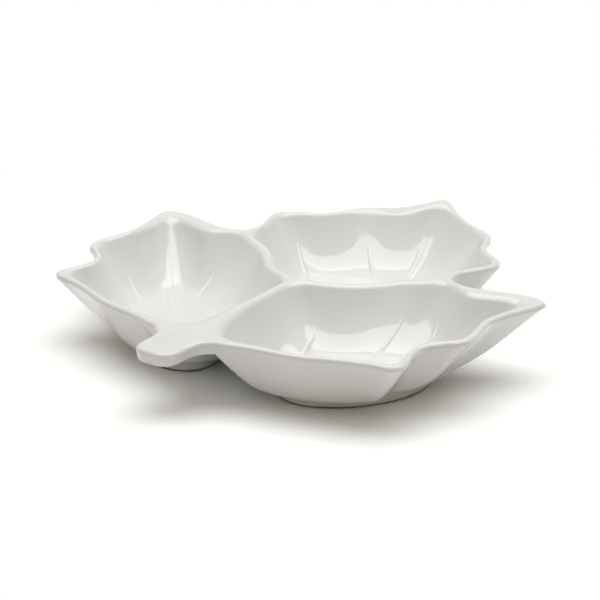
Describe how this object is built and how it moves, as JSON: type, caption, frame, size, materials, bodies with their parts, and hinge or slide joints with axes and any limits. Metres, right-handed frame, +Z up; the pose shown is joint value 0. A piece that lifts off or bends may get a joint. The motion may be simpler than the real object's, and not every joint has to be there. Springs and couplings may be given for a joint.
{
  "type": "leaf shaped serving dish",
  "caption": "White glazed serving dish in the shape of a lobed leaf, with joined bowls, a toothed rounded rim, raised veins, a stub of stem and an oval foot ring under each bowl.",
  "frame": {"origin": "centre of the overall bounding box, on the table under the foot rings", "axes": "+Z up, +Y along the leaf from the stem to the tip, +X towards the right bowl"},
  "size_m": [0.309, 0.322, 0.0554],
  "materials": {
    "glaze": "glossy white glaze",
    "bare_foot": "bare fired clay on the standing edge, thinly glazed above it"
  },
  "bodies": {
    "root": {"right_bowl": "glaze", "left_bowl": "glaze", "tip_bowl": "glaze", "stem": "glaze", "right_foot_ring": "bare_foot", "left_foot_ring": "bare_foot", "tip_foot_ring": "bare_foot", "right_midrib": "glaze", "right_hub_vein": "glaze", "right_crest_vein": "glaze", "right_notch_vein": "glaze", "right_outer_vein": "glaze", "left_midrib": "glaze", "left_hub_vein": "glaze", "left_crest_vein": "glaze", "left_notch_vein": "glaze", "left_outer_vein": "glaze", "tip_midrib": "glaze", "tip_right_upper_vein": "glaze", "tip_right_lower_vein": "glaze", "tip_left_upper_vein": "glaze", "tip_left_lower_vein": "glaze"}
  },
  "joints": []
}
